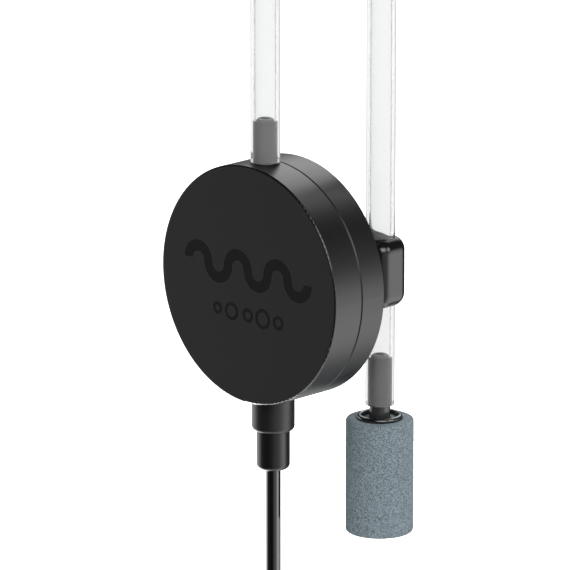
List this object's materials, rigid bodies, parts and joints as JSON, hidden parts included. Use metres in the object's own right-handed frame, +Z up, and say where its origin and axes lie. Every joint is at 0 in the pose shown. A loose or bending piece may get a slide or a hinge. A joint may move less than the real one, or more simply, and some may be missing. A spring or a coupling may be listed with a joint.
{
  "type": "aquarium air pump",
  "caption": "Round piezo air pump held on the tank glass by magnets, with a clear hose over the rim, a sliding inner holder, an air stone and a low-voltage cable.",
  "frame": {"origin": "centre of the pump's back face, which lies on the outside of the tank's glass", "axes": "+X along the glass, +Y through the glass into the tank, +Z up along the hose"},
  "size_m": [0.0492, 0.0343, 0.1788],
  "materials": {
    "housing": "fine satin moulded black plastic",
    "mark": "smooth black print-like inlay",
    "black_rubber": "soft satin black",
    "screw_steel": "zinc-plated",
    "magnet_plate": "nickel-plated",
    "keeper_steel": "plain rolled steel",
    "board": "green solder mask",
    "ferrite": "dull dark grey",
    "copper": "enamelled copper wire",
    "chip_black": "moulded epoxy",
    "tin": "tin-plated",
    "capacitor_can": "bright can",
    "contact_bronze": "phosphor bronze",
    "bender_brass": "rolled brass",
    "piezo": "silvered ceramic",
    "silicone": "milky silicone",
    "valve_plastic": "natural moulded plastic",
    "stem_plastic": "dark grey moulded plastic",
    "felt": "pressed felt",
    "cable_jacket": "glossy black jacket",
    "wire_insulation": "insulated wires",
    "plug_grip": "moulded black grip",
    "plug_metal": "nickel-plated contacts",
    "plug_core": "moulded insulator",
    "clear_hose": "clear flexible hose",
    "holder_gloss": "glossy moulded black",
    "stone": "blue-grey bonded grit"
  },
  "bodies": {
    "pump": {"front_cover": "housing", "rear_cover": "housing", "gland_collar": "housing", "face_mark": "mark", "glass_pad": "black_rubber", "housing_seal": "black_rubber", "strain_relief": "black_rubber", "cover_screws": "screw_steel", "pump_magnet": "magnet_plate", "magnet_keeper": "keeper_steel", "circuit_board": "board", "inductor_core": "ferrite", "inductor_winding": "copper", "driver_chip": "chip_black", "board_chips": "chip_black", "chip_leads": "tin", "board_capacitors": "capacitor_can", "contact_springs": "contact_bronze", "bender_surround": "silicone", "nozzle_washer": "silicone", "valve_block": "valve_plastic", "manifold_cover": "valve_plastic", "air_nozzle": "stem_plastic", "intake_filter": "felt", "power_cable": "cable_jacket", "power_wires": "wire_insulation", "plug_body": "plug_grip", "plug_barrel": "plug_metal", "plug_contact": "plug_metal", "plug_insulator": "plug_core"},
    "hose": {"air_hose": "clear_hose"},
    "holder": {"holder_body": "holder_gloss", "holder_magnet": "magnet_plate", "holder_keeper": "keeper_steel", "holder_pad": "black_rubber"},
    "stone": {"air_stone": "stone", "stone_ring": "holder_gloss", "stone_nipple": "stem_plastic"},
    "bender": {"bender_disc": "bender_brass", "piezo_ceramic": "piezo"},
    "intake_valve": {"intake_flap": "silicone"},
    "outlet_valve": {"outlet_flap": "silicone"}
  },
  "joints": [
    {"name": "glass_gap", "type": "slide", "parent": "pump", "child": "hose", "axis": [0, 1, 0], "range_m": [-0.003, 0.006], "deforming": ["air_hose"]},
    {"name": "holder_slide", "type": "slide", "parent": "hose", "child": "holder", "axis": [0, 0, 1], "range_m": [-0.018, 0.05]},
    {"name": "stone_pull", "type": "slide", "parent": "hose", "child": "stone", "axis": [0, 0, -1], "range_m": [0, 0.014]},
    {"name": "bender_stroke", "type": "slide", "parent": "pump", "child": "bender", "axis": [0, 1, 0], "range_m": [-0.0002, 0.0002], "stiffness_N_per_m": 100},
    {"name": "intake_flap_swing", "type": "hinge", "parent": "pump", "child": "intake_valve", "pos_m": [0, -0.00929, -0.0036], "axis": [1, 0, 0], "range_deg": [0, 15], "stiffness_Nm_per_rad": 0.00001},
    {"name": "outlet_flap_swing", "type": "hinge", "parent": "pump", "child": "outlet_valve", "pos_m": [0, -0.00861, 0.0036], "axis": [1, 0, 0], "range_deg": [0, 20], "stiffness_Nm_per_rad": 0.00001}
  ]
}
